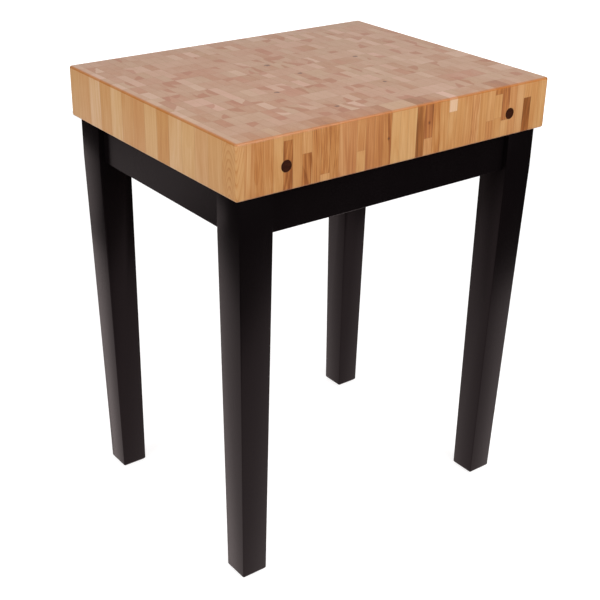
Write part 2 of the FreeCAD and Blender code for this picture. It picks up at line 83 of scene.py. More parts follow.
# a shader or geometry tree, and short ways to add its nodes
class Tree:
    def __init__(self, group):
        self.group = group

    # any node: its type, its own settings (set first), then the values or links of its sockets
    def add(self, nodeType, settings=None, inputs=None, out=0):
        node = self.group.nodes.new(nodeType)
        for name, value in (settings or {}).items():
            if name == "stops":
                self.setStops(node.color_ramp, value)
            else:
                setattr(node, name, value)
        shown = [socket for socket in node.inputs if socket.enabled]
        for key, value in (inputs or {}).items():
            socket = shown[key] if isinstance(key, int) else next(s for s in shown if s.name == key)
            self.feed(socket, value)
        outputs = [socket for socket in node.outputs if socket.enabled]
        if not outputs:
            return node
        found = outputs[out] if isinstance(out, int) else next(s for s in outputs if s.name == out)
        return Wire(self, found)

    def feed(self, socket, value):
        if isinstance(value, Wire):
            self.group.links.new(value.socket, socket)
        elif isinstance(value, (list, tuple)) and value and isinstance(value[0], Wire):
            for wire in value:
                self.group.links.new(wire.socket, socket)
        else:
            socket.default_value = value

    def setStops(self, ramp, stops):
        while len(ramp.elements) > 1:
            ramp.elements.remove(ramp.elements[-1])
        for number, (place, colour) in enumerate(stops):
            element = ramp.elements[0] if number == 0 else ramp.elements.new(place)
            element.position = place
            element.color = colour

    def math(self, operation, *values):
        return self.add("ShaderNodeMath", {"operation": operation}, dict(enumerate(values)))

    def vector(self, operation, *values, out=0):
        return self.add("ShaderNodeVectorMath", {"operation": operation}, dict(enumerate(values)), out)

    def split(self, vector):
        wire = self.add("ShaderNodeSeparateXYZ", inputs={0: vector})
        return [Wire(self, socket) for socket in wire.socket.node.outputs]

    def join(self, x, y, z):
        return self.add("ShaderNodeCombineXYZ", inputs={0: x, 1: y, 2: z})

    # 0 below low, 1 above high, smooth between; low may be the larger
    def ease(self, value, low, high):
        return self.add("ShaderNodeMapRange", {"interpolation_type": "SMOOTHSTEP"},
                        {"Value": value, "From Min": low, "From Max": high})

    def blend(self, factor, a, b):
        return self.add("ShaderNodeMix", {"data_type": "RGBA"}, {"Factor": factor, "A": a, "B": b})

    def noise(self, place, scale, seed=None, detail=2.0, rough=0.5):
        stretched = self.vector("MULTIPLY", place, scale)
        settings = {"noise_dimensions": "3D" if seed is None else "4D"}
        inputs = {"Vector": stretched, "Scale": 1.0, "Detail": detail, "Roughness": rough}
        if seed is not None:
            inputs["W"] = seed
        return self.add("ShaderNodeTexNoise", settings, inputs, "Fac")

    # a colour ramp, its stops given as places and sRGB colours
    def ramp(self, value, stops):
        linear = [(place, tint(*colour)) for place, colour in stops]
        return self.add("ShaderNodeValToRGB", {"stops": linear}, {"Fac": value}, "Color")

    def bump(self, height, strength, distance=0.0002):
        return self.add("ShaderNodeBump", inputs={
            "Strength": strength, "Distance": distance, "Height": height})

    def attribute(self, name, out="Fac"):
        return self.add("ShaderNodeAttribute", {"attribute_name": name}, out=out)

    def place(self):
        return self.add("ShaderNodeTexCoord", out="Object")

    def normal(self):
        return self.add("ShaderNodeNewGeometry", out="Normal")


# an sRGB colour, 0 to 255, as the linear colour that sockets hold
def tint(red, green, blue):
    linear = [c / 12.92 if c <= 0.04045 else ((c + 0.055) / 1.055) ** 2.4
              for c in (red / 255, green / 255, blue / 255)]
    return (*linear, 1.0)


# fixed holds the shader's constant values, and build returns what varies over the surface
def newMaterial(name, fixed, build):
    material = bpy.data.materials.new(name)
    material.use_nodes = True
    material.node_tree.nodes.clear()
    tree = Tree(material.node_tree)
    shader = tree.add("ShaderNodeBsdfPrincipled", inputs=fixed)
    body = shader.socket.node
    for label, value in build(tree).items():
        tree.feed(body.inputs[label], value)
    tree.add("ShaderNodeOutputMaterial", inputs={"Surface": shader})
    return material


cameraView = {
    "lens": 69.05,         # lens and sensor in millimetres, distances in metres
    "sensor": 36.0,
    "clip": (0.05, 60.0),
    "turn": -37.503,       # degrees about Z
    "pitch": 26.285,       # degrees down
    "roll": 1.151,
    "distance": 2.483,
    "aim": (0.0, 0.011, 0.410),
}


def makeCamera():
    turn = (Matrix.Rotation(math.radians(cameraView["turn"]), 3, "Z")
            @ Matrix.Rotation(math.radians(90 - cameraView["pitch"]), 3, "X")
            @ Matrix.Rotation(math.radians(cameraView["roll"]), 3, "Z"))
    data = bpy.data.cameras.new("camera")
    data.lens = cameraView["lens"]
    data.sensor_width = cameraView["sensor"]
    data.clip_start, data.clip_end = cameraView["clip"]
    camera = bpy.data.objects.new("camera", data)
    place = Vector(cameraView["aim"]) + turn @ Vector((0, 0, cameraView["distance"]))
    camera.matrix_world = Matrix.Translation(place) @ turn.to_4x4()
    scene.collection.objects.link(camera)
    scene.camera = camera


floorSize = {
    "radius": 2.6,
    "centre": (0.05, 0.25, 0.0),
    "sides": 96,
    "colour": (188, 187, 186),
    "glow": 0.78,
    # what the paint mirrors of the floor: pools of light by middle, inner radius, outer radius and strength
    "pools": [((0.15, 0.3, 0.0), 1.25, 1.5, 0.96), ((-1.1, 2.2, 0.0), 0.7, 0.9, 0.65)],
    "poolColour": (1.0, 0.86, 0.85, 1.0),
    "elsewhere": 0.02,      # strength outside the pools
}


def makeFloor():
    mesh = bpy.data.meshes.new("studioFloor")
    work = bmesh.new()
    bmesh.ops.create_circle(work, cap_ends=True, radius=floorSize["radius"], segments=floorSize["sides"],
                            matrix=Matrix.Translation(floorSize["centre"]))
    work.to_mesh(mesh)
    work.free()
    floor = bpy.data.objects.new("studioFloor", mesh)
    scene.collection.objects.link(floor)

    material = bpy.data.materials.new("floorPaper")
    material.use_nodes = True
    material.node_tree.nodes.clear()
    tree = Tree(material.node_tree)
    matt = tree.add("ShaderNodeBsdfDiffuse", inputs={"Color": tint(*floorSize["colour"])})
    glow = tree.add("ShaderNodeEmission", inputs={"Strength": floorSize["glow"]})
    paper = tree.add("ShaderNodeAddShader", inputs={0: matt, 1: glow})
    pooled = floorSize["elsewhere"]
    for middle, inner, outer, strength in floorSize["pools"]:
        away = tree.vector("DISTANCE", tree.place(), middle, out="Value")
        pooled = tree.math("MAXIMUM", tree.ease(away, outer, inner) * strength, pooled)
    mirrored = tree.add("ShaderNodeEmission", inputs={"Color": floorSize["poolColour"], "Strength": pooled})
    # the camera sees the paper, everything else the pools, and from below the floor is clear
    seen = tree.add("ShaderNodeLightPath", out="Is Camera Ray")
    paper = tree.add("ShaderNodeMixShader", inputs={0: seen, 1: mirrored, 2: paper})
    clear = tree.add("ShaderNodeBsdfTransparent")
    below = tree.add("ShaderNodeNewGeometry", out="Backfacing")
    shown = tree.add("ShaderNodeMixShader", inputs={0: below, 1: paper, 2: clear})
    tree.add("ShaderNodeOutputMaterial", inputs={"Surface": shown})
    mesh.materials.append(material)


# every lamp is a soft panel: where it stands, where it points, its size in metres and its watts
lamps = {
    "overhead": {"place": (-0.2, -0.1, 2.9), "aim": (0.0, 0.0, 0.0), "size": (3.0, 3.0), "watts": 13.5},
    "keyFront": {"place": (0.4, -3.0, 2.0), "aim": (0.0, 0.0, 0.7), "size": (2.8, 2.2), "watts": 79.0},
    "keyLeft": {"place": (-3.0, -0.2, 2.0), "aim": (0.0, 0.0, 0.7), "size": (2.8, 2.2), "watts": 73.0},
    "edgeGlint": {"place": (1.5, -1.5, 2.9), "aim": (0.0, -0.3, 0.9), "size": (0.7, 1.4), "watts": 13.0},
    "backdrop": {"place": (1.9, 2.5, 2.3), "aim": (0.0, 0.0, 0.9), "size": (4.4, 3.0), "watts": 42.0},
}
surroundings = {"backdrop": 1.4, "room": 0.02}


def makeLight():
    for name, lamp in lamps.items():
        data = bpy.data.lights.new(name, "AREA")
        data.shape = "RECTANGLE"
        data.size, data.size_y = lamp["size"]
        data.energy = lamp["watts"]
        light = bpy.data.objects.new(name, data)
        light.location = lamp["place"]
        towards = Vector(lamp["aim"]) - Vector(lamp["place"])
        light.rotation_euler = towards.to_track_quat("-Z", "Y").to_euler()
        light.visible_camera = False
        scene.collection.objects.link(light)
    # the backdrop is white to look at, and dim where it is only mirrored
    world = bpy.data.worlds.new("studio")
    world.use_nodes = True
    world.node_tree.nodes.clear()
    tree = Tree(world.node_tree)
    seen = tree.add("ShaderNodeLightPath", out="Is Camera Ray")
    strength = surroundings["room"] + seen * (surroundings["backdrop"] - surroundings["room"])
    background = tree.add("ShaderNodeBackground", inputs={"Color": (1, 1, 1, 1), "Strength": strength})
    tree.add("ShaderNodeOutputWorld", inputs={"Surface": background})
    scene.world = world
    scene.view_settings.view_transform = "Standard"


makeCamera()
makeFloor()
makeLight()
print("camera, floor and light made")


def bodyOf(name, mesh):
    made = bpy.data.objects.new(name, mesh)
    scene.collection.objects.link(made)
    return made


# the evaluated object as a plain mesh object, its modifiers gone
def baked(source, name):
    graph = bpy.context.evaluated_depsgraph_get()
    mesh = bpy.data.meshes.new_from_object(source.evaluated_get(graph))
    mesh.name = name
    bpy.data.objects.remove(source)
    made = bodyOf(name, mesh)
    made.name = name
    return made


# the whole mesh in one material
def finishIn(mesh, material):
    mesh.materials.clear()
    mesh.materials.append(material)
    mesh.polygons.foreach_set("material_index", [0] * len(mesh.polygons))


sharpTurn = math.radians(32)      # edges that turn by more stay sharp
touching = 0.00001                # vertices closer than this are one


def smoothByAngle(mesh):
    work = bmesh.new()
    work.from_mesh(mesh)
    for face in work.faces:
        face.smooth = True
    for edge in work.edges:
        edge.smooth = len(edge.link_faces) == 2 and edge.calc_face_angle(0) < sharpTurn
    work.to_mesh(mesh)
    work.free()


# a new geometry tree whose named inputs are given by label and socket type
def geometryTree(name, sizes):
    group = bpy.data.node_groups.new(name, "GeometryNodeTree")
    group.interface.new_socket("Geometry", in_out="INPUT", socket_type="NodeSocketGeometry")
    for label, kind in sizes.items():
        group.interface.new_socket(label, in_out="INPUT", socket_type=kind)
    group.interface.new_socket("Geometry", in_out="OUTPUT", socket_type="NodeSocketGeometry")
    tree = Tree(group)
    given = group.nodes.new("NodeGroupInput")
    inputs = {socket.name: Wire(tree, socket) for socket in given.outputs if socket.name}
    return tree, inputs


# the source run through the tree with these values, as a plain mesh object
def runTree(source, group, values):
    modifier = source.modifiers.new(group.name, "NODES")
    modifier.node_group = group
    for item in group.interface.items_tree:
        if item.in_out == "INPUT" and item.name in values:
            modifier[item.identifier] = values[item.name]
    return baked(source, source.name)


# the block, of strips of end-grain staves
block = {
    "low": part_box("block_strip_01")[0],
    "high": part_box("block_strip_14")[1],
    "strips": 14,
    "firstStave": 0.0155,     # the grid is trimmed at the left end
    "staveWidth": 0.01987,
    "glueGap": 0.00002,
    "ease": 0.0048,
    "easeSteps": 5,
    "seed": 41,
}
rods = {
    "left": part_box("tie_rod_left"),
    "right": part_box("tie_rod_right"),
    "clearance": 0.00075,
    "washerThick": 0.0016,
    "sides": 64,
    "pastEnds": 0.005,
}
# tones run from 0, cream, to 1, dark brown; blush from -1, yellow, to 1, pink
staveLuck = {
    "plain": 0.42,            # ordinary honey maple
    "boardSpread": 0.045,     # between boards
    "staveSpread": 0.02,      # between staves of one board
    "boards": (1, 1, 2, 2, 3, 4),     # neighbouring staves from one board
    "darkShare": 0.06,
    "dark": (0.48, 0.54),
    "paleShare": 0.20,
    "pale": (0.18, 0.28),
    "blush": (-0.1, 0.7),
    "figure": (0.15, 0.5),
    "leftEndFigure": 0.1,
    "rightEnd": ((0.28, 0.52), (-0.3, 0.4)),      # tone and blush
    "backShare": 0.45,        # back staves that are in two lengths: where they meet, tone, blush, figure
    "back": ((0.015, 0.085), (0.25, 0.75), (-0.3, 0.5), 0.8),
    "heartAway": (0.03, 0.11),
    "heartEdge": (-0.009, 0.002),
    "splitChance": 0.34,      # staves with a patch of heartwood, among the strips and staves below
    "splitStrips": range(1, 10),
    "splitStaves": range(24),
    "splitElsewhere": 0.14,
    "lean": 0.06,
    "faintRings": 0.03,
    "figuredRings": 0.14,
}
farAway = 9.0      # where knots and plug holes are put that a piece doesn't have

# front strip, by stave number from the left: pieces as bottom edge below the top, tone, blush and figure
frontStaves = {
    0: [(1, 0.34, 0.0, 0.0)], 1: [(1, 0.47, 0.1, 0.5)], 2: [(1, 0.55, 0.0, 0.3)], 3: [(1, 0.49, 0.0, 0.3)],
    4: [(1, 0.40, -0.2, 0.2)],
    5: [(0.012, 0.50, 0.0, 0.2), (1, 0.69, 0.0, 0.8)],
    6: [(1, 0.46, 0.0, 0.3)],
    7: [(0.042, 0.45, 0.1, 0.3), (1, 0.67, 0.0, 0.7)],
    8: [(1, 0.52, 0.0, 0.8)],
    9: [(0.087, 0.62, 0.0, 0.9), (1, 0.38, 0.1, 0.2)],
    10: [(1, 0.60, -0.1, 0.5)], 11: [(1, 0.49, 0.4, 0.3)], 12: [(1, 0.58, 0.4, 0.3)],
    13: [(0.061, 0.52, 0.2, 0.3), (1, 0.38, 0.0, 0.2)],
    14: [(1, 0.58, 0.3, 0.3)], 15: [(1, 0.56, 0.2, 0.3)], 16: [(1, 0.63, 0.1, 0.5)],
    17: [(1, 0.34, -0.3, 0.15)], 18: [(1, 0.34, -0.3, 0.15)], 19: [(1, 0.34, -0.3, 0.15)],
    20: [(1, 0.72, -0.2, 0.8)],
    21: [(0.067, 0.66, 0.2, 0.6), (1, 0.40, 0.3, 0.2)],
    22: [(1, 0.54, 0.0, 0.5)], 23: [(1, 0.45, 0.0, 0.3)],
    24: [(0.027, 0.02, 0.6, 0.0), (1, 0.42, 0.0, 0.2)],
    25: [(1, 0.42, 0.0, 0.2)], 26: [(1, 0.43, 0.1, 0.3)], 27: [(1, 0.41, 0.3, 0.8)],
    28: [(1, 0.48, 0.0, 0.3)],
    29: [(0.062, 0.40, 0.1, 0.3), (1, 0.52, 0.2, 0.3)],
    30: [(0.014, 0.60, 0.0, 0.3), (0.060, 0.40, 0.0, 0.2), (1, 0.46, 0.0, 0.2)],
    31: [(0.067, 0.68, 0.2, 0.7), (1, 0.38, 0.0, 0.2)],
    32: [(1, 0.47, 0.3, 0.4)], 33: [(1, 0.34, 0.3, 0.2)],
    34: [(0.032, 0.42, 0.1, 0.2), (1, 0.80, -0.1, 0.3)],
    35: [(1, 0.44, 0.0, 0.3)], 36: [(1, 0.37, -0.1, 0.3)], 37: [(1, 0.40, 0.0, 0.3)],
}
oneBoard = {18, 19}      # front staves cut from the same board as the one before
# the corner stave shows flat-sawn arches on the left end: its heart beside it, well tilted
archedHeart = {"away": (0.012, -0.001), "lean": (0.20, 0.01), "rings": 0.16}
# left end, one stave for each strip from front to back: tone and blush
leftEnd = [(0.36, 0.0), (0.33, 0.0), (0.26, 0.3), (0.24, -0.2), (0.19, 0.1), (0.42, -0.1), (0.21, -0.1),
           (0.36, 0.3), (0.34, 0.2), (0.18, 0.0), (0.34, 0.1), (0.13, 0.3), (0.29, 0.4), (0.25, 0.2)]
# single staves that stand out on the top, by strip and stave from the front left: tone and blush
topStaves = {
    (2, 29): (0.52, 0.9), (2, 30): (0.50, 0.8), (2, 31): (0.54, 0.9), (2, 32): (0.50, 0.8),
    (7, 11): (0.56, 0.9), (7, 23): (0.52, 0.6), (4, 26): (0.54, 0.6), (4, 12): (0.52, 1.0),
    (4, 13): (0.54, 1.0), (6, 35): (0.52, 0.8), (5, 3): (0.20, 0.9), (5, 4): (0.20, 0.9),
    (4, 4): (0.16, 1.0), (5, 7): (0.18, 0.8), (6, 7): (0.20, 0.8), (5, 12): (0.20, 0.7),
    (5, 13): (0.22, 0.7), (5, 15): (0.16, 0.9), (0, 17): (0.20, 0.6), (0, 21): (0.18, 0.5),
    (12, 12): (0.18, 0.6), (12, 25): (0.20, 0.6), (12, 31): (0.18, 0.6), (1, 13): (0.56, 0.3),
    (6, 17): (0.52, 0.4), (5, 17): (0.50, 0.4), (6, 2): (0.50, 0.6), (6, 3): (0.48, 0.5),
}
# knots: strip, their place from the left end, the front and the top, and their radius
knots = [(1, 0.268, 0.076, 0.0, 0.0042), (4, 0.230, 0.206, 0.0, 0.0052), (8, 0.326, 0.370, 0.0, 0.0056),
         (7, 0.518, 0.329, 0.0, 0.0042), (6, 0.345, 0.287, 0.0, 0.0046), (3, 0.446, 0.152, 0.0, 0.0044),
         (0, 0.424, 0.0, 0.038, 0.0022), (0, 0.327, 0.0, 0.050, 0.0018)]


def staveEdges():
    length = block["high"].x - block["low"].x
    edges, at = [0.0], block["firstStave"]
    while at < length:
        edges.append(at)
        at += block["staveWidth"]
    return [*edges, length]


# one entry for each piece of wood in a strip: its box and its look
def stripPlan(strip, luck):
    depth = (block["high"].y - block["low"].y) / block["strips"]
    thick = block["high"].z - block["low"].z
    nearY = block["low"].y + strip * depth
    edges = staveEdges()
    last = len(edges) - 2
    pieces, run = [], 0
    for number, (start, end) in enumerate(zip(edges, edges[1:])):
        if run == 0:   # neighbours often come from one board
            run = luck.choice(staveLuck["boards"])
            kind = luck.random()
            tone = luck.gauss(staveLuck["plain"], staveLuck["boardSpread"])
            if kind < staveLuck["darkShare"]:
                tone, run = luck.uniform(*staveLuck["dark"]), 1
            elif kind < staveLuck["darkShare"] + staveLuck["paleShare"]:
                tone, run = luck.uniform(*staveLuck["pale"]), 1
            blush = luck.uniform(*staveLuck["blush"])
        run -= 1
        figure = luck.uniform(*staveLuck["figure"])
        stack = [(1, tone + luck.gauss(0, staveLuck["staveSpread"]), blush, figure)]
        if strip == block["strips"] - 1 and luck.random() < staveLuck["backShare"]:
            cut, lowerTone, lowerBlush, lowerFigure = staveLuck["back"]
            stack = [(luck.uniform(*cut), tone, blush, figure),
                     (1, luck.uniform(*lowerTone), luck.uniform(*lowerBlush), lowerFigure)]
        if number == last:
            endTone, endBlush = staveLuck["rightEnd"]
            stack = [(1, luck.uniform(*endTone), luck.uniform(*endBlush), figure)]
        if (strip, number) in topStaves:
            stack = [(1, *topStaves[strip, number], figure)]
        if number == 0:
            stack = [(1, *leftEnd[strip], staveLuck["leftEndFigure"])]
        if strip == 0:
            stack = frontStaves[number]
        above = 0.0
        for below, shade, pink, figure in stack:
            below = min(below, thick)
            middle = Vector((block["low"].x + (start + end) / 2, nearY + depth / 2,
                             block["high"].z - (above + below) / 2))
            angle, away = luck.uniform(0, 2 * math.pi), luck.uniform(*staveLuck["heartAway"])
            heart = Vector((middle.x + away * math.cos(angle), middle.y + away * math.sin(angle)))
            # where the heartwood stops inside a stave, it shows as a reddish patch on the end grain
            often = strip in staveLuck["splitStrips"] and number in staveLuck["splitStaves"]
            chance = staveLuck["splitChance" if often else "splitElsewhere"]
            split = luck.random() < chance and strip > 0 and number > 0
            tilt = staveLuck["lean"]
            pieces.append({
                "middle": middle,
                "size": Vector((end - start, depth, below - above)),
                "tone": shade,
                "blush": pink,
                "figure": figure,
                "rings": staveLuck["faintRings"] + figure * staveLuck["figuredRings"],
                "grain": luck.uniform(0, 100),
                "heart": Vector((
                    heart.x, heart.y, away + luck.uniform(*staveLuck["heartEdge"]) if split else 0.0)),
                "lean": Vector((luck.uniform(-tilt, tilt), luck.uniform(-tilt, tilt), 0)),
                "knot": Vector((0, 0, -farAway)),      # until addKnots gives it one
                "knotSize": 0.005,
            })
            if strip == 0 and number in oneBoard:
                pieces[-1].update({label: pieces[-2][label] for label in ("grain", "heart", "lean")})
            if strip == 0 and number == 0:
                offsetX, offsetY = archedHeart["away"]
                pieces[-1].update({"heart": Vector((middle.x + offsetX, middle.y + offsetY, 0)),
                                   "lean": Vector((*archedHeart["lean"], 0)), "rings": archedHeart["rings"]})
            above = below
    return pieces


# each knot goes to the piece of wood that it lies in
def addKnots(plans):
    corner = Vector((block["low"].x, block["low"].y, block["high"].z))
    for strip, x, y, down, radius in knots:
        spot = corner + Vector((x, y, -down))
        nearest = min(plans[strip], key=lambda piece: max(
            abs(spot[axis] - piece["middle"][axis]) - piece["size"][axis] / 2 for axis in range(3)))
        nearest["knot"] = spot
        nearest["knotSize"] = radius


# what a piece of wood tells the material
staveLooks = {
    **dict.fromkeys(("tone", "blush", "figure", "rings", "grain", "knotSize"), "FLOAT"),
    **dict.fromkeys(("heart", "lean", "knot", "middle", "half"), "FLOAT_VECTOR"),
}


# a point for each piece of wood, which carries the piece's size and look
def planMesh(name, pieces):
    mesh = bpy.data.meshes.new(name)
    mesh.from_pydata([piece["middle"] for piece in pieces], [], [])
    for piece in pieces:
        piece["half"] = piece["size"] / 2
    for label, kind in {**staveLooks, "size": "FLOAT_VECTOR"}.items():
        data = mesh.attributes.new(label, kind, "POINT").data
        for entry, piece in zip(data, pieces):
            if kind == "FLOAT":
                entry.value = piece[label]
            else:
                entry.vector = piece[label]
    return bodyOf(name, mesh)


# cuts the pieces of one strip from their points, and bores them for the rods and the plugs
def staveTree():
    tree, given = geometryTree("staves", {
        "Glue gap": "NodeSocketFloat", "Bore radius": "NodeSocketFloat", "Bore depth": "NodeSocketFloat",
        "Plug radius": "NodeSocketFloat", "Plug recess": "NodeSocketFloat", "Bore start": "NodeSocketVector",
        "Bore spacing": "NodeSocketVector", "Plug start": "NodeSocketVector", "Wood": "NodeSocketMaterial"})

    def named(label, kind):
        return tree.add("GeometryNodeInputNamedAttribute", {"data_type": kind}, {"Name": label})

    wood = tree.add("GeometryNodeMeshCube")
    trimmed = tree.vector("SUBTRACT", named("size", "FLOAT_VECTOR"),
                          tree.join(given["Glue gap"], given["Glue gap"], given["Glue gap"]))
    staves = tree.add("GeometryNodeInstanceOnPoints", inputs={
        "Points": given["Geometry"], "Instance": wood, "Scale": trimmed})
    staves = tree.add("GeometryNodeRealizeInstances", inputs={0: staves})
    for label, kind in staveLooks.items():   # held on the faces, so that the bores don't disturb them
        staves = tree.add("GeometryNodeStoreNamedAttribute", {"data_type": kind, "domain": "FACE"}, {
            "Geometry": staves, "Name": label, "Value": named(label, kind)})

    def borePair(radius, depth, start):
        bar = tree.add("GeometryNodeMeshCylinder", inputs={
            "Vertices": rods["sides"], "Radius": radius, "Depth": depth})
        spots = tree.add("GeometryNodeMeshLine", {"mode": "OFFSET"}, {
            "Count": 2, "Start Location": start, "Offset": given["Bore spacing"]})
        bars = tree.add("GeometryNodeInstanceOnPoints", inputs={
            "Points": spots, "Instance": bar, "Rotation": (math.pi / 2, 0, 0)})
        return tree.add("GeometryNodeRealizeInstances", inputs={0: bars})

    bored = tree.add("GeometryNodeMeshBoolean", {"operation": "DIFFERENCE", "solver": "EXACT"}, {
        "Mesh 1": staves, "Mesh 2": borePair(given["Bore radius"], given["Bore depth"], given["Bore start"])})
    bored = tree.add("GeometryNodeMeshBoolean", {"operation": "DIFFERENCE", "solver": "EXACT"}, {
        "Mesh 1": bored, "Mesh 2": borePair(given["Plug radius"], given["Plug recess"], given["Plug start"])})
    finished = tree.add("GeometryNodeSetMaterial", inputs={"Geometry": bored, "Material": given["Wood"]})
    tree.add("NodeGroupOutput", inputs={"Geometry": finished})
    return tree.group


# rounds the edges where two outer faces of the whole block meet
def easeOuterEdges(mesh):
    low, high = block["low"], block["high"]
    reach = block["glueGap"] * 2
    work = bmesh.new()
    work.from_mesh(mesh)

    def planes(vertex):
        return {(axis, end) for axis in range(3) for end, limit in enumerate((low, high))
                if abs(vertex.co[axis] - limit[axis]) < reach}

    chosen = [edge for edge in work.edges if len(planes(edge.verts[0]) & planes(edge.verts[1])) >= 2]
    bmesh.ops.bevel(work, geom=chosen, offset=block["ease"], offset_type="OFFSET", affect="EDGES",
                    segments=block["easeSteps"], profile=0.5, clamp_overlap=True, loop_slide=True)
    work.to_mesh(mesh)
    work.free()


# noise scales are in cycles per metre along X, Y and Z
mapleLook = {
    "wander": (28, 28, 5),
    "streak": (210, 210, 3.5),
    "fibre": (900, 900, 20),
    "cloud": (34, 34, 13),
    "ragged": (240, 240, 60),
    "ringsPerMetre": 330,
    "leanFrom": 0.86,         # the height where a leaning heart is in its own place
    "longStops": [(0.0, (240, 206, 168)), (0.2, (226, 182, 130)), (0.42, (212, 156, 98)),
                  (0.6, (194, 128, 70)), (0.8, (158, 92, 44)), (1.0, (118, 64, 28))],
    "endStops": [(0.0, (224, 188, 166)), (0.2, (208, 170, 144)), (0.42, (194, 153, 123)),
                 (0.6, (184, 129, 94)), (0.8, (150, 98, 68)), (1.0, (98, 60, 40))],
    "heartwood": (178, 114, 82),
    "pink": (206, 142, 122),
    "yellow": (222, 182, 112),
    "arris": (190, 116, 56),
    "knot": (104, 66, 46),
    "glue": (120, 76, 48),
    "glueLine": (0.00035, 0.00005),      # a glue line fades out over this distance from the joint
    "relief": 0.25,
    "specular": 0.45,
}


def mapleBuild(tree):
    look = mapleLook
    place = tree.place()
    grain, figure = tree.attribute("grain"), tree.attribute("figure")
    tone, blush = tree.attribute("tone"), tree.attribute("blush")
    x, y, z = tree.split(place)
    heartX, heartY, heartwood = tree.split(tree.attribute("heart", "Vector"))
    leanX, leanY, _ = tree.split(tree.attribute("lean", "Vector"))
    upward = tree.split(tree.normal())[2]
    endGrain = tree.ease(abs(upward), 0.35, 0.95)
    arris = tree.ease(upward, 0.02, 0.3) * (1 - tree.ease(upward, 0.9, 1.0))      # of the top only

    def uneven(where, part, detail, rough=0.5):      # noise between -0.5 and 0.5
        return tree.noise(where, look[part], grain, detail, rough) - 0.5

    # growth rings: the distance from the tree's heart, which leans and wanders along the stave
    wander = uneven(place, "wander", 2.0)
    ringX = x - heartX - leanX * (z - look["leanFrom"]) + wander * 0.012
    ringY = y - heartY - leanY * (z - look["leanFrom"]) + wander * 0.008
    radius = tree.math("SQRT", ringX * ringX + ringY * ringY)
    ring = tree.math("FRACT", radius * look["ringsPerMetre"] + wander * 1.5)
    lateWood = tree.ease(ring, 0.35, 1.0) * tree.ease(ring, 1.0, 0.9)
    along = tree.join(ringX, ringY, z)      # the grain runs with the lean of the heart
    streak = uneven(along, "streak", 3.0, 0.6)
    fibre = uneven(along, "fibre", 2.0, 0.6)
    cloud = uneven(place, "cloud", 1.0)
    inHeart = tree.ease(radius - heartwood + wander * 0.02 + cloud * 0.01, 0.0012, -0.0012)

    # knots: the distance from the knot's middle in its own radii
    spread = tree.vector("DISTANCE", place, tree.attribute("knot", "Vector"), out="Value")
    spread = spread / tree.attribute("knotSize") + cloud * 1.2 + uneven(place, "ragged", 1.0) * 1.6
    knotty = tree.ease(spread, 1.25, 0.85)
    swirl = tree.ease(spread, 2.6, 1.2)

    longShade = (tone + streak * (0.26 + figure * 1.2) + cloud * (0.20 + figure * 0.2) + fibre * 0.20
                 + lateWood * tree.attribute("rings") + inHeart * 0.14 + swirl * 0.12)
    endShade = tone + streak * 0.16 + cloud * 0.20 + fibre * 0.16 + lateWood * 0.05 + inHeart * 0.10
    longColour = tree.ramp(longShade, look["longStops"])
    endColour = tree.blend(inHeart * 0.6, tree.ramp(endShade, look["endStops"]), tint(*look["heartwood"]))
    colour = tree.blend(endGrain, longColour, endColour)
    colour = tree.blend(tree.math("MAXIMUM", blush, 0.0) * 0.30, colour, tint(*look["pink"]))
    colour = tree.blend(tree.math("MAXIMUM", blush * -1.0, 0.0) * 0.30, colour, tint(*look["yellow"]))
    colour = tree.blend(arris * 0.72, colour, tint(*look["arris"]))
    colour = tree.blend(knotty * 0.75, colour, tint(*look["knot"]))

    # thin glue lines, away from the faces that they lie in
    offset = tree.vector("ABSOLUTE", tree.vector("SUBTRACT", place, tree.attribute("middle", "Vector")))
    inside = tree.vector("SUBTRACT", tree.attribute("half", "Vector"), offset)
    outward = tree.vector("ABSOLUTE", tree.normal())
    inside = tree.split(tree.vector("ADD", inside, outward))
    nearest = tree.math("MINIMUM", tree.math("MINIMUM", inside[0], inside[1]), inside[2])
    glue = tree.ease(nearest, *look["glueLine"])
    colour = tree.blend(glue * 0.45, colour, tint(*look["glue"]))

    roughness = 0.40 - arris * 0.20 + endGrain * 0.12 + streak * 0.10 + fibre * 0.08 + glue * 0.1
    height = fibre * 0.6 + lateWood * 0.3 - glue * 1.2 + streak * 0.4
    return {"Base Color": colour, "Roughness": roughness, "Normal": tree.bump(height, look["relief"])}


maple = newMaterial("mapleBlock", {"Specular IOR Level": mapleLook["specular"]}, mapleBuild)


def makeBlock():
    luck = random.Random(block["seed"])
    plans = [stripPlan(strip, luck) for strip in range(block["strips"])]
    addKnots(plans)
    group = staveTree()
    rodLow, rodHigh = rods["left"]
    across = rods["right"][0].x - rodLow.x
    axisX, axisZ = (rodLow.x + rodHigh.x) / 2, (rodLow.z + rodHigh.z) / 2
    depth = block["high"].y - block["low"].y
    plugLow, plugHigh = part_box("plug_front_left")
    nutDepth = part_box("tie_rod_washers")[0].y - block["low"].y + rods["washerThick"]
    for strip, pieces in enumerate(plans):
        name = f"blockStrip{strip + 1:02d}"
        outer = {0: block["low"].y, block["strips"] - 1: block["high"].y}.get(strip, farAway)
        made = runTree(planMesh(name, pieces), group, {
            "Glue gap": block["glueGap"],
            "Bore radius": (rodHigh.x - rodLow.x) / 2 + rods["clearance"],
            "Bore depth": depth + rods["pastEnds"] * 2,
            "Bore start": (axisX, 0.0, axisZ),
            "Bore spacing": (across, 0.0, 0.0),
            "Plug radius": (plugHigh.x - plugLow.x) / 2,
            "Plug recess": nutDepth * 2,
            "Plug start": (axisX, outer, axisZ),
            "Wood": maple,
        })
        finishIn(made.data, maple)
        easeOuterEdges(made.data)
        smoothByAngle(made.data)
        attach(made, "root")
        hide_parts(f"block_strip_{strip + 1:02d}")


makeBlock()
print("block made")

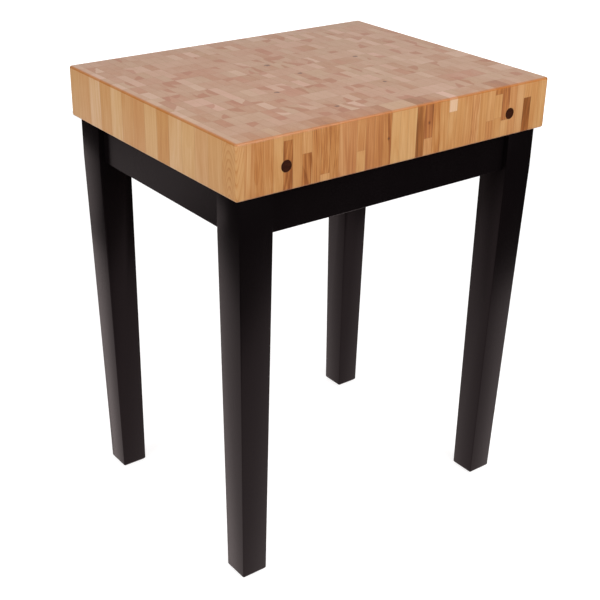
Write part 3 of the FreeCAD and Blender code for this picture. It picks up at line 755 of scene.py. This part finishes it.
# the painted base: legs and aprons
paint = {
    "grain": (420, 420, 9),      # the wood's grain shows through as a faint relief
    "speck": (1400, 1400, 1400),
    "cloud": (9, 9, 5),
    "dark": (10, 7, 8),
    "light": (15, 11, 12),
    "roughness": 0.26,
    "unevenness": 0.06,
    "relief": 0.12,
    "specular": 0.15,
    "specularTint": (1.0, 0.82, 0.87, 1.0),
}


def paintBuild(tree):
    place = tree.place()
    telegraph = tree.noise(place, paint["grain"], detail=3.0, rough=0.6)
    speck = tree.noise(place, paint["speck"], detail=1.0)
    cloud = tree.noise(place, paint["cloud"])
    colour = tree.blend(cloud, tint(*paint["dark"]), tint(*paint["light"]))
    roughness = (paint["roughness"] + (cloud - 0.5) * paint["unevenness"]
                 + (speck - 0.5) * paint["unevenness"])
    relief = tree.bump(telegraph * 0.7 + speck * 0.3, paint["relief"])
    return {"Base Color": colour, "Roughness": roughness, "Normal": relief}


blackPaint = newMaterial("blackPaint", {
    "Specular IOR Level": paint["specular"], "Specular Tint": paint["specularTint"]}, paintBuild)

legEdges = {
    "round": 0.0016,
    "steps": 3,
    "shortest": 0.004,
    "flat": math.radians(1),
    "sharp": math.radians(20),
}


# a painted copy of a CAD piece, with its long edges rounded, in the piece's place
def roundedCopy(node, name):
    mesh = nodes[node].data.copy()
    mesh.name = name
    work = bmesh.new()
    work.from_mesh(mesh)
    bmesh.ops.remove_doubles(work, verts=work.verts, dist=touching)
    bmesh.ops.dissolve_limit(work, angle_limit=legEdges["flat"], verts=work.verts, edges=work.edges)
    chosen = [edge for edge in work.edges if len(edge.link_faces) == 2
              and edge.calc_face_angle(0) > legEdges["sharp"] and edge.calc_length() > legEdges["shortest"]]
    bmesh.ops.bevel(work, geom=chosen, offset=legEdges["round"], offset_type="OFFSET", affect="EDGES",
                    segments=legEdges["steps"], profile=0.5, clamp_overlap=True)
    work.to_mesh(mesh)
    work.free()
    finishIn(mesh, blackPaint)
    smoothByAngle(mesh)
    made = bodyOf(name, mesh)
    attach(made, "root")
    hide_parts(node)


for corner in ("front_left", "front_right", "back_right", "back_left"):
    roundedCopy(f"leg_{corner}", "leg" + corner.title().replace("_", ""))


# CAD pieces that are shown as they are
def dress(names, material):
    for name in names:
        data = nodes[name].data
        data.materials.clear()
        data.materials.append(material)


dress([name for name in nodes if name.startswith("apron_")], blackPaint)
print("base made")

# plugs, braces and hardware
walnutLook = {
    "streak": (60, 200, 500),
    "pore": (300, 1200, 1400),
    "stops": [(0.2, (38, 16, 8)), (0.5, (54, 25, 13)), (0.8, (76, 40, 22))],
    "roughness": 0.42,
    "unevenness": 0.2,
    "relief": (0.2, 0.0002),      # strength and distance
    "specular": 0.12,
}
braceLook = {
    "streak": (40, 40, 320),
    "pore": (150, 150, 1500),
    "stops": [(0.2, (196, 158, 112)), (0.5, (212, 176, 130)), (0.8, (226, 194, 150))],
    "roughness": 0.62,
    "unevenness": 0.12,
    "relief": (0.25, 0.0003),
    "specular": 0.35,
}
steelLook = {"dark": (150, 150, 152), "light": (186, 186, 188)}
zincLook = {"dark": (176, 178, 178), "light": (208, 208, 204)}
spangles = {"perMetre": 140.0, "brushed": (500, 500, 500), "roughness": 0.34, "unevenness": 0.16,
            "relief": (0.1, 0.0001)}


def plainWood(name, look):
    def build(tree):
        place = tree.place()
        streak = tree.noise(place, look["streak"], detail=3.0, rough=0.6)
        pore = tree.noise(place, look["pore"], detail=1.0)
        return {"Base Color": tree.ramp(streak, look["stops"]),
                "Roughness": look["roughness"] + (pore - 0.5) * look["unevenness"],
                "Normal": tree.bump(streak + pore, *look["relief"])}
    return newMaterial(name, {"Specular IOR Level": look["specular"]}, build)


def platedMetal(name, look):
    def build(tree):
        place = tree.place()
        spangle = tree.add("ShaderNodeTexVoronoi", {"feature": "F1"}, {
            "Vector": place, "Scale": spangles["perMetre"], "Randomness": 1.0}, "Distance")
        brushed = tree.noise(place, spangles["brushed"])
        lit = tree.ease(spangle, 0.1, 0.9)
        return {"Base Color": tree.blend(lit, tint(*look["dark"]), tint(*look["light"])),
                "Roughness": spangles["roughness"] + (brushed - 0.5) * spangles["unevenness"],
                "Normal": tree.bump(brushed, *spangles["relief"])}
    return newMaterial(name, {"Metallic": 1.0}, build)


walnut = plainWood("walnutPlug", walnutLook)
braceWood = plainWood("braceWood", braceLook)
steel = platedMetal("steel", steelLook)
zinc = platedMetal("zincPlate", zincLook)

dress([name for name in nodes if name.startswith("plug_")], walnut)
dress([name for name in nodes if name.startswith("brace_") and name != "brace_screws"], braceWood)
dress([name for name in nodes if name.startswith("tie_rod")], steel)
dress(["hanger_washers", "hanger_nuts"], steel)
dress([name for name in nodes if name.startswith("bracket_") and name != "bracket_screws"], zinc)
print("hardware dressed")

# screws and hanger bolts: radii, heights and threads; a recess is its length, width and depth
smallScrew = {"shank": 0.0021, "head": 0.0042, "headHeight": 0.0026, "cut": 0.0007, "pitch": 0.0019,
              "recess": (0.0044, 0.0011, 0.0017)}
largeScrew = {"shank": 0.00275, "head": 0.0055, "headHeight": 0.0026, "cut": 0.0009, "pitch": 0.0024,
              "recess": (0.0056, 0.0013, 0.0018)}
screwShape = {"tip": 0.0002, "pointLength": 2, "threadEnd": 0.7, "neckStart": 0.74, "neck": 0.86}
# a pan head: its share of the head's radius at each share of its height
panHead = [(0, 0.94), (0.06, 1.0), (0.34, 1.0), (0.62, 0.94), (0.82, 0.82), (0.95, 0.62), (1, 0.40)]
# a wood thread from its point up, and a machine thread from its other end down
hangerBolt = {"radius": 0.004, "point": 0.006, "woodThread": 0.040, "woodPitch": 0.0026, "woodCut": 0.0011,
              "machineThread": 0.026, "machinePitch": 0.00125, "machineCut": 0.0007, "bevel": 0.0008,
              "tip": 0.0003, "runOut": 0.001, "bareShare": 0.97}
fastenerSeed = 7
threadSides, threadSteps = 24, 4      # sides of a turned piece, and its rows for each turn of thread


# the vertices of each separate solid of a CAD piece
def solidsOf(node):
    work = bmesh.new()
    work.from_mesh(nodes[node].data)
    bmesh.ops.remove_doubles(work, verts=work.verts, dist=touching)
    work.verts.index_update()
    seen, solids = set(), []
    for first in work.verts:
        if first.index in seen:
            continue
        seen.add(first.index)
        reached = [first]
        for vertex in reached:      # the list grows as its neighbours are found
            for link in vertex.link_edges:
                other = link.other_vert(vertex)
                if other.index not in seen:
                    seen.add(other.index)
                    reached.append(other)
        solids.append([vertex.co.copy() for vertex in reached])
    work.free()
    return solids


# a fastener's tip, the way its head points, and its length
def lieOf(points, inward):
    middle = sum(points, Vector()) / len(points)
    if inward:      # hanger bolts point at the table's middle
        axis = Vector((-math.copysign(1, middle.x), -math.copysign(1, middle.y), 0)).normalized()
    else:
        far = max(points, key=lambda point: (point - middle).length)
        axis = Vector([round(part) for part in (middle - far).normalized()])
    reach = [(point - middle).dot(axis) for point in points]
    return middle + axis * min(reach), axis, max(reach) - min(reach)


# a turned bar along Z, closed at both ends: rows of height, radius, thread depth and pitch
def turnedMesh(name, rows):
    sides = threadSides
    points = [(0.0, 0.0, rows[0][0])]
    for height, radius, cut, pitch in rows:
        for step in range(sides):
            angle = 2 * math.pi * step / sides
            phase = (height / pitch - step / sides) % 1.0
            spread = radius - cut * abs(2 * phase - 1)
            points.append((spread * math.cos(angle), spread * math.sin(angle), height))
    points.append((0.0, 0.0, rows[-1][0]))
    faces = [(0, 1 + (step + 1) % sides, 1 + step) for step in range(sides)]
    for row in range(len(rows) - 1):
        low, high = 1 + row * sides, 1 + (row + 1) * sides
        for step in range(sides):
            after = (step + 1) % sides
            faces.append((low + step, low + after, high + after, high + step))
    top, last = len(points) - 1, 1 + (len(rows) - 1) * sides
    faces += [(top, last + step, last + (step + 1) % sides) for step in range(sides)]
    mesh = bpy.data.meshes.new(name)
    mesh.from_pydata(points, [], faces)
    return bodyOf(name, mesh)


# rows for a thread from start to end
def threadRows(start, end, radius, cut, pitch):
    count = round((end - start) / pitch * threadSteps)
    return [(start + (end - start) * step / count, radius, cut, pitch) for step in range(count + 1)]


def plainRow(height, radius):
    return height, radius, 0.0, 1.0


def screwPattern(length, screw):
    seat, shank, neck = length - screw["headHeight"], screw["shank"], screw["shank"] * screwShape["neck"]
    rows = [plainRow(0.0, screwShape["tip"])]
    rows += threadRows(shank * screwShape["pointLength"], seat * screwShape["threadEnd"], shank,
                       screw["cut"], screw["pitch"])
    rows += [plainRow(seat * screwShape["neckStart"], neck), plainRow(seat, neck)]
    rows += [plainRow(seat + screw["headHeight"] * rise, screw["head"] * share) for rise, share in panHead]
    return turnedMesh("screwPattern", rows)


def boltPattern(length, bolt):
    radius, bare = bolt["radius"], bolt["radius"] * bolt["bareShare"]
    start, end = length - bolt["machineThread"], length - bolt["bevel"]
    rows = [plainRow(0.0, bolt["tip"])]
    rows += threadRows(bolt["point"], bolt["woodThread"], radius, bolt["woodCut"], bolt["woodPitch"])
    rows += [plainRow(bolt["woodThread"] + bolt["runOut"], bare), plainRow(start - bolt["runOut"], bare)]
    rows += threadRows(start, end, radius, bolt["machineCut"], bolt["machinePitch"])
    rows += [plainRow(length, radius - bolt["bevel"])]
    return turnedMesh("boltPattern", rows)


# sets a pattern on each point, turned to the point's axis
def fastenerTree(name, recessed):
    tree, given = geometryTree(name, {
        "Pattern": "NodeSocketObject", "Recess": "NodeSocketVector", "Head top": "NodeSocketFloat",
        "Metal": "NodeSocketMaterial"})
    shape = tree.add("GeometryNodeObjectInfo", inputs={"Object": given["Pattern"]}, out="Geometry")
    if recessed:      # a cross for the driver, sunk in the head
        long, narrow, deep = tree.split(given["Recess"])
        bars = [tree.add("GeometryNodeMeshCube", inputs={"Size": tree.join(wide, tall, deep * 2)})
                for wide, tall in ((long, narrow), (narrow, long))]
        bars = [tree.add("GeometryNodeTransform", inputs={
            "Geometry": bar, "Translation": tree.join(0.0, 0.0, given["Head top"])}) for bar in bars]
        shape = tree.add("GeometryNodeMeshBoolean", {"operation": "DIFFERENCE", "solver": "EXACT"}, {
            "Mesh 1": shape, "Mesh 2": bars})
    axis = tree.add("GeometryNodeInputNamedAttribute", {"data_type": "FLOAT_VECTOR"}, {"Name": "axis"})
    turn = tree.add("GeometryNodeInputNamedAttribute", {"data_type": "FLOAT"}, {"Name": "turn"})
    facing = tree.add("FunctionNodeAlignRotationToVector", {"axis": "Z"}, {"Vector": axis})
    spin = tree.add("FunctionNodeAxisAngleToRotation", inputs={"Axis": (0, 0, 1), "Angle": turn})
    facing = tree.add("FunctionNodeRotateRotation", {"rotation_space": "LOCAL"}, {
        "Rotation": facing, "Rotate By": spin})
    placed = tree.add("GeometryNodeInstanceOnPoints", inputs={
        "Points": given["Geometry"], "Instance": shape, "Rotation": facing})
    placed = tree.add("GeometryNodeRealizeInstances", inputs={0: placed})
    placed = tree.add("GeometryNodeSetMaterial", inputs={"Geometry": placed, "Material": given["Metal"]})
    tree.add("NodeGroupOutput", inputs={"Geometry": placed})
    return tree.group


# a screw or a hanger bolt in the place of each solid of a CAD piece
def makeFasteners(node, name, sizes, luck):
    screws = "head" in sizes
    slot, metal, pattern = ("zinc_plate", zinc, screwPattern) if screws else ("steel", steel, boltPattern)
    lies = [lieOf(points, not screws) for points in solidsOf(node)]
    mesh = bpy.data.meshes.new(name)
    mesh.from_pydata([tip for tip, _, _ in lies], [], [])
    # each attribute is filled before the next is made, which moves the data
    axes = mesh.attributes.new("axis", "FLOAT_VECTOR", "POINT").data
    for entry, (_, axis, _) in zip(axes, lies):
        entry.vector = axis
    turns = mesh.attributes.new("turn", "FLOAT", "POINT").data
    for entry in turns:
        entry.value = luck.uniform(0, 2 * math.pi)
    length = lies[0][2]
    shape = pattern(length, sizes)
    made = runTree(bodyOf(name, mesh), fastenerTree(name, screws), {
        "Pattern": shape, "Recess": sizes.get("recess", (0, 0, 0)), "Head top": length, "Metal": metal})
    bpy.data.objects.remove(shape)
    finishIn(made.data, metal)
    smoothByAngle(made.data)
    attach(made, "root")
    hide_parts(node)


def makeHardware():
    luck = random.Random(fastenerSeed)
    makeFasteners("bracket_screws", "bracketScrews", smallScrew, luck)
    makeFasteners("brace_screws", "braceScrews", smallScrew, luck)
    makeFasteners("block_screws", "blockScrews", largeScrew, luck)
    makeFasteners("hanger_bolts", "hangerBolts", hangerBolt, luck)


makeHardware()
print("screws and bolts made")
